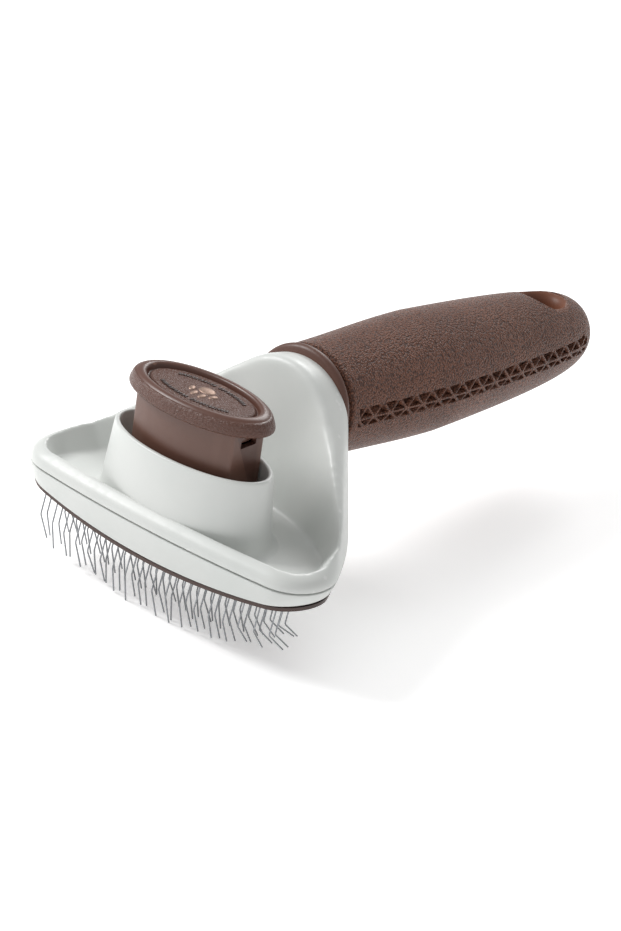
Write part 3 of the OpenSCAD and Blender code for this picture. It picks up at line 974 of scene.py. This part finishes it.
@dataclass
class Button:
    """The oval cap and its sleeve."""

    cap_a: float = 22.7
    cap_b: float = 12.0
    centre_y: float = BUTTON_Y
    rise: float = 11.3
    half_l: float = 16.7
    mid_w: float = 9.6
    end_w: float = 6.2
    bottom_z: float = -12.0

    def cap(self) -> BMesh:
        """Cap: grained skirt, polished bead, narrow groove and a sunk grained face."""
        profile = [
            (-6.4, 0.15), (-1.0, 0.0), (-0.3, 0.1), (0.0, 0.45), (-0.1, 1.1), (-0.45, 2.0),
            (-0.85, 2.85), (-1.3, 3.4), (-1.75, 3.72), (-2.5, 4.1), (-3.4, 4.3), (-4.2, 4.25),
            (-4.8, 3.9), (-5.1, 3.2), (-5.3, 2.75), (-5.7, 2.7), (-6.0, 3.0), (-6.4, 3.3),
        ]
        grains = {2: 0.3, 3: 0.9, 4: 1, 5: 1, 6: 1, 7: 0.7, 16: 0.5, 17: 1}
        steps = 3
        fine = curved(profile, steps)
        face = [(-6.4 - (self.cap_b * 0.9) * k / 8, 3.3) for k in range(1, 9)]
        rings = []
        for d, z in [*fine, *face]:
            b = self.cap_b + d * 0.68
            if d < -6.4:
                left = 1 + 0.97 * (d + 6.4) / (self.cap_b * 0.9)
                a, b = (self.cap_a - 6.4) * left, (self.cap_b - 6.4 * 0.68) * left
            else:
                a = self.cap_a + d
            rings.append(ellipse(a, b, self.centre_y, self.rise + z, 144))
        bm = loft(rings)
        layer = bm.verts.layers.float.new("grain")
        levels = []
        for i in range(len(rings)):
            knot = i / steps
            low, high = int(knot), min(int(knot) + 1, 17)
            first = grains.get(low, 0) if low < 17 else 1
            last = grains.get(high, 0)
            levels.append(1 if knot >= 17 else first + (last - first) * (knot - low))
        count = len(rings[0])
        bm.verts.ensure_lookup_table()
        for i, vert in enumerate(bm.verts):
            vert[layer] = levels[min(i // count, len(levels) - 1)]
        return bm

    def outline(self, inset: float, z: float) -> Ring:
        """Ring of the sleeve: two bowed sides and two flat ends, moved in by inset."""
        bow = self.mid_w - self.end_w
        r = (self.half_l**2 + bow**2) / (2 * bow)
        turn = math.degrees(math.asin((self.half_l - inset) / (r - inset)))
        drop = r - self.mid_w
        sides = [
            *arc(0, self.centre_y - drop, r - inset, 90 - turn, 90 + turn, 40),
            *arc(0, self.centre_y + drop, r - inset, 270 - turn, 270 + turn, 40),
        ]
        return [Vector((x, y, z)) for x, y in sides]

    def sleeve(self) -> BMesh:
        """Sleeve: thin walls, a snap window in each flat end, and a flange inside the collar."""
        body = loft([self.outline(0, self.bottom_z), self.outline(0, self.rise)])
        edges = [e for e in body.edges if abs(e.verts[0].co.z - e.verts[1].co.z) > 5]
        sharp = [e for e in edges if e.calc_face_angle(0) > 0.5]
        bmesh.ops.bevel(
            body, geom=sharp, offset=0.7, offset_type="OFFSET", affect="EDGES", segments=4,
            profile=0.5, material=-1,
        )
        hollow = loft([self.outline(1.6, 1.6), self.outline(1.6, self.rise + 1)])
        under = loft([self.outline(1.6, self.bottom_z - 1), self.outline(1.6, 0)])
        window = bmesh.new()
        bmesh.ops.create_cube(window, size=1)
        bmesh.ops.scale(window, vec=(60, 6, 3.4), verts=window.verts)
        bmesh.ops.translate(window, vec=(0, self.centre_y, self.rise - 3.4), verts=window.verts)
        flange = loft([ellipse(18.6, 10.9, 0, z, 96) for z in (self.bottom_z, -9.9)])
        clear = loft([self.outline(1.0, z) for z in (self.bottom_z - 1, 3)])
        bm = carve(body, [hollow, under, window])
        ring = carve(flange, [clear])
        mesh = bpy.data.meshes.new("bench")
        ring.to_mesh(mesh)
        ring.free()
        bm.from_mesh(mesh)
        bpy.data.meshes.remove(mesh)
        return bm

    def tongues(self) -> BMesh:
        """The cap's two snap tongues, seen in the sleeve's windows."""
        bm = bmesh.new()
        for side in (-1, 1):
            made = bmesh.ops.create_cube(bm, size=1)["verts"]
            bmesh.ops.scale(bm, vec=(1.5, 5.2, 1.5), verts=made)
            spot = (side * (self.half_l - 2.3), self.centre_y, self.rise - 3.9)
            bmesh.ops.translate(bm, vec=spot, verts=made)
        bmesh.ops.bevel(
            bm, geom=bm.edges[:], offset=0.2, offset_type="OFFSET", affect="EDGES", segments=2,
            profile=0.5, material=-1,
        )
        return bm

    def dome(self, bm: BMesh, x: float, y: float, rx: float, ry: float, turn: float) -> None:
        """Adds a flattened dome that stands 0.3 mm proud of the cap's face."""
        made = bmesh.ops.create_uvsphere(bm, u_segments=28, v_segments=12, radius=1)["verts"]
        bmesh.ops.scale(bm, vec=(rx, ry, 0.42), verts=made)
        bmesh.ops.rotate(bm, matrix=Matrix.Rotation(math.radians(turn), 3, "Z"), verts=made)
        spot = (x, self.centre_y + y, self.rise + 3.22)
        bmesh.ops.translate(bm, vec=spot, verts=made)

    def paw(self) -> BMesh:
        """A plain paw print in the middle of the cap."""
        bm = bmesh.new()
        self.dome(bm, 0, 1.6, 2.6, 1.8, 0)
        for x, y, turn in ((-3.6, -0.1, 24), (-1.3, -1.9, 8), (1.3, -1.9, -8), (3.6, -0.1, -24)):
            self.dome(bm, x, y, 0.95, 1.4, turn)
        shade(bm)
        return bm

    def ticks(self) -> BMesh:
        """Two arcs of short moulded dashes beside the edge of the face."""
        bm = bmesh.new()
        for side in (-1, 1):
            for i in (*range(-13, 0), *range(1, 14)):
                turn = math.radians(90 * side + i * 4.1)
                a, b = 13.7, 5.55
                x, y = a * math.cos(turn), b * math.sin(turn)
                heading = math.atan2(b * math.cos(turn), -a * math.sin(turn))
                made = bmesh.ops.create_cube(bm, size=1)["verts"]
                wide = 0.62 if i % 3 else 0.34
                bmesh.ops.scale(bm, vec=(wide, 1.1, 0.5), verts=made)
                bmesh.ops.rotate(bm, matrix=Matrix.Rotation(heading, 3, "Z"), verts=made)
                spot = (x, self.centre_y + y, self.rise + 3.28)
                bmesh.ops.translate(bm, vec=spot, verts=made)
        bmesh.ops.bevel(
            bm, geom=bm.edges[:], offset=0.1, offset_type="OFFSET", affect="EDGES", segments=2,
            profile=0.5, material=-1,
        )
        shade(bm)
        return bm

    def build(self, bench: Bench) -> None:
        """Builds and dresses the button."""
        f = bench.finishes
        cap = self.cap()
        shade(cap, 50)
        bench.finish_piece("cap_shell", cap, f.cap, Body.EJECTOR, ["button_cap"])
        sleeve = self.sleeve()
        shade(sleeve, 30)
        bench.finish_piece(
            "sleeve_shell", sleeve, f.sleeve, Body.EJECTOR, ["button_sleeve"]
        )
        tongues = self.tongues()
        shade(tongues)
        bench.finish_piece("snap_tongues", tongues, f.sleeve, Body.EJECTOR)
        bench.finish_piece("cap_paw", self.paw(), f.foil, Body.EJECTOR)
        bench.finish_piece("cap_dashes", self.ticks(), f.plate, Body.EJECTOR)


# ---- handle ----


def handle_matrix() -> Matrix:
    """Frame whose Z runs along the handle from its front end, and whose -Y is up."""
    turn = Matrix.Rotation(math.radians(-90 - HANDLE_SLOPE), 4, "X")
    return Matrix.Translation(HANDLE_START) @ turn


def handle_axis() -> Vector:
    """Direction of the handle's axis."""
    return handle_matrix().to_3x3() @ Vector((0, 0, 1))


@dataclass
class Handle:
    """The rubber grip with its laced side seams, its hanging hole and the rolled ring.

    The higher blunt is, the blunter is the rear end.
    """

    length: float = 127.0
    front_r: float = 15.7
    max_r: float = 17.3
    ring_l: float = 4.2
    swell: float = 52.0
    hole_at: float = 109.5
    hole_r: float = 5.4
    seam_from: float = 7.0
    seam_to: float = 120.6
    stitch: float = 6.8
    seam_half: float = 3.5
    seam_low: float = 2.4
    pit_depth: float = 1.6
    blunt: float = 5.7

    def end_point(self, turn: float) -> tuple[float, float]:
        """Radius and distance along the blunt rear end, for a turn of 0 to 90 degrees."""
        c = math.cos(math.radians(turn))
        return self.max_r * c, self.swell + (self.length - self.swell) * (1 - c**self.blunt)

    def radius(self, s: float) -> float:
        """Radius of the grip at a distance along the handle."""
        if s <= self.swell:
            share = (1 - math.cos(math.pi * s / self.swell)) / 2
            return self.front_r + (self.max_r - self.front_r) * share
        share = min(1.0, (s - self.swell) / (self.length - self.swell))
        return self.max_r * max(0.0, 1 - share) ** (1 / self.blunt)

    def pit(self, s: float, h: float) -> float:
        """Depth of the laced seam at a distance along the handle and a height above its line."""
        half = self.seam_low if h > 0 else self.seam_half
        inside = min(half - abs(h), s - self.seam_from, self.seam_to - s)
        if inside <= 0:
            return 0.0
        u = ((s - self.seam_from) / self.stitch) % 1.0
        u = u - 1 if u > 0.5 else u
        lean = math.hypot(half, self.stitch / 2)
        arm = abs(abs(u) - abs(h) / half / 2) * self.stitch * half / lean
        gap = min(abs(h), arm, inside)
        t = min(1.0, max(0.0, (gap - 0.34) / 0.4))
        return self.pit_depth * t * t * (3 - 2 * t)

    def turns(self) -> list[float]:
        """Angles round the grip, close together at the two side seams."""
        fine = [(-4.3 + 8.6 * i / 34) / self.max_r for i in range(35)]
        first, last = fine[-1], math.pi + fine[0]
        wide = [first + (last - first) * i / 34 for i in range(1, 34)]
        half = [*fine, *wide]
        return [*half, *[t + math.pi for t in half]]

    def stations(self) -> list[tuple[float, float]]:
        """Radius and distance of each ring of the grip."""
        start = self.ring_l + 0.15
        lip = [(self.radius(start) - 1.3, start), (self.radius(start) - 0.45, start + 0.08)]
        lip.append((self.radius(start) - 0.12, start + 0.45))
        count = int((self.seam_to - start - 1.0) / 0.33)
        even = [start + 1.0 + (self.seam_to - start - 1.0) * i / count for i in range(count + 1)]
        tail = [self.end_point(t) for t in range(0, 90, 2)]
        tail = [p for p in tail if p[1] > self.seam_to + 0.3]
        close = [self.end_point(t) for t in (90 - 0.9, 90 - 0.4)]
        return [*lip, *[(self.radius(s), s) for s in even], *tail, *close]

    def grip(self) -> BMesh:
        """The grip as one skin, with the seams pressed into it and the hole bored through."""
        turns = self.turns()
        rings = []
        for r, s in self.stations():
            ring = []
            for t in turns:
                side = math.asin(math.sin(t))
                depth = self.pit(s, side * r) if abs(side) * r < self.seam_half + 0.5 else 0
                ring.append(Vector(((r - depth) * math.cos(t), (r - depth) * math.sin(t), s)))
            rings.append(ring)
        bm = loft(rings)
        shade(bm, 75)
        lip = [(self.hole_r, 0), (self.hole_r, 6.5)]
        for turn in range(0, 91, 9):
            a = math.radians(turn)
            lip.append((self.hole_r + 2.6 * (1 - math.cos(a)), 8.2 + 3.6 * math.sin(a)))
        lip.append((lip[-1][0] + 2.4, 20))
        rows = [*[(r, -z) for r, z in reversed(lip[1:])], *lip]
        tool = loft([ellipse(r, r, 0, z, 72) for r, z in rows])
        bmesh.ops.rotate(tool, matrix=Matrix.Rotation(math.pi / 2, 3, "X"), verts=tool.verts)
        bmesh.ops.translate(tool, vec=(0, 0, self.hole_at), verts=tool.verts)
        bm = carve(bm, [tool])
        layer = bm.verts.layers.float.new("grain")
        for vert in bm.verts:
            away = math.hypot(vert.co.x, vert.co.z - self.hole_at) - self.hole_r
            vert[layer] = min(1.0, max(0.0, (away - 1.6) / 1.4))
        return bm

    def ring(self) -> BMesh:
        """The rolled ring between neck and grip, with a groove behind it."""
        r = self.front_r
        profile = [(8.0, 0.0), (r - 0.9, 0.0)]
        for turn in range(-80, 91, 10):
            a = math.radians(turn)
            profile.append((r - 1.05 + 1.55 * math.cos(a), 1.6 + 1.55 * math.sin(a)))
        profile += [(r - 1.35, 3.45), (r - 1.3, 4.6), (8.0, 4.6)]
        return loft([ellipse(x, x, 0, z, 160) for x, z in profile], closed=True)

    def build(self, bench: Bench) -> None:
        """Builds and dresses the handle."""
        f, frame = bench.finishes, handle_matrix()
        grip = self.grip()
        shade(grip, 60)
        bench.finish_piece("grip_skin", grip, f.grip, Body.BRUSH, ["grip_sleeve"], frame)
        ring = self.ring()
        shade(ring, 60)
        bench.finish_piece(
            "rolled_ring", ring, f.roll, Body.BRUSH, ["handle_core"], frame
        )


# ---- studio ----


@dataclass
class Studio:
    """A plain pale floor, soft light and the camera."""

    eye: tuple[float, float, float] = (498.12, -634.19, 389.04)
    right: tuple[float, float, float] = (0.76068, 0.63448, 0.13714)
    up: tuple[float, float, float] = (-0.37618, 0.25870, 0.88970)
    back: tuple[float, float, float] = (0.52902, -0.72836, 0.43547)
    lens: float = 135.2
    sensor: float = 36.0

    def lamp(self, name: str, spot: Vector, aim: Vector, size: float, power: float) -> None:
        """Adds a square soft light."""
        light = bpy.data.lights.new(name, "AREA")
        light.size, light.energy = size, power
        item = bpy.data.objects.new(name, light)
        item.location = spot
        item.rotation_euler = (aim - spot).to_track_quat("-Z", "Y").to_euler()
        bpy.context.scene.collection.objects.link(item)

    def build(self, bench: Bench) -> None:
        """Sets up floor, light and camera."""
        scene = bpy.context.scene
        bm = bmesh.new()
        bmesh.ops.create_grid(bm, x_segments=1, y_segments=1, size=12)
        mesh = bpy.data.meshes.new("floor")
        bm.to_mesh(mesh)
        bm.free()
        floor = bpy.data.objects.new("floor", mesh)
        scene.collection.objects.link(floor)
        material, tree, shader = blank_material("pale_paper")
        place = add_node(tree, "ShaderNodeTexCoord").outputs["Object"]
        fibre = add_node(tree, "ShaderNodeTexNoise", {"Scale": per_mm(3)}, {"Vector": place})
        tone = add_node(
            tree,
            "ShaderNodeMix",
            {"data_type": "RGBA", 6: linear("#FBFBFB"), 7: linear("#F9F9F9")},
            {0: fibre.outputs["Fac"]},
        ).outputs[2]
        tree.links.new(tone, shader.inputs["Base Color"])
        shader.inputs["Roughness"].default_value = 0.9
        shader.inputs["Specular IOR Level"].default_value = 0.1
        shader.inputs["Emission Color"].default_value = linear("#FFFFFF")
        shader.inputs["Emission Strength"].default_value = 0.32
        mesh.materials.append(material)

        world = bpy.data.worlds.new("soft_room")
        world.use_nodes = True
        world.node_tree.nodes["Background"].inputs[0].default_value = linear("#FFFFFF")
        world.node_tree.nodes["Background"].inputs[1].default_value = 0.5
        scene.world = world
        middle = bench.origin.copy()
        self.lamp("key", middle + Vector((-0.72, -0.32, 0.7)), middle, 0.42, 8.3)
        self.lamp("rim", middle + Vector((-0.3, 0.75, 0.6)), middle, 0.4, 3.5)

        data = bpy.data.cameras.new("camera")
        data.sensor_width, data.lens = self.sensor, self.lens
        data.clip_start, data.clip_end = 0.05, 50
        camera = bpy.data.objects.new("camera", data)
        axes = Matrix((self.right, self.up, self.back)).transposed().to_4x4()
        camera.matrix_world = Matrix.Translation(bench.origin + Vector(self.eye) * MM) @ axes
        scene.collection.objects.link(camera)
        scene.camera = camera
        scene.view_settings.view_transform = "Standard"


def main() -> None:
    logging.basicConfig(level=logging.INFO, format="%(message)s")
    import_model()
    bench = Bench(Finishes())
    shape = HeadShape()
    for assembly in (Head(shape), Staples(shape), Button(), Handle(), Studio()):
        assembly.build(bench)
    LOG.info("%d new pieces", bench.count)


if __name__ == "__main__":
    main()
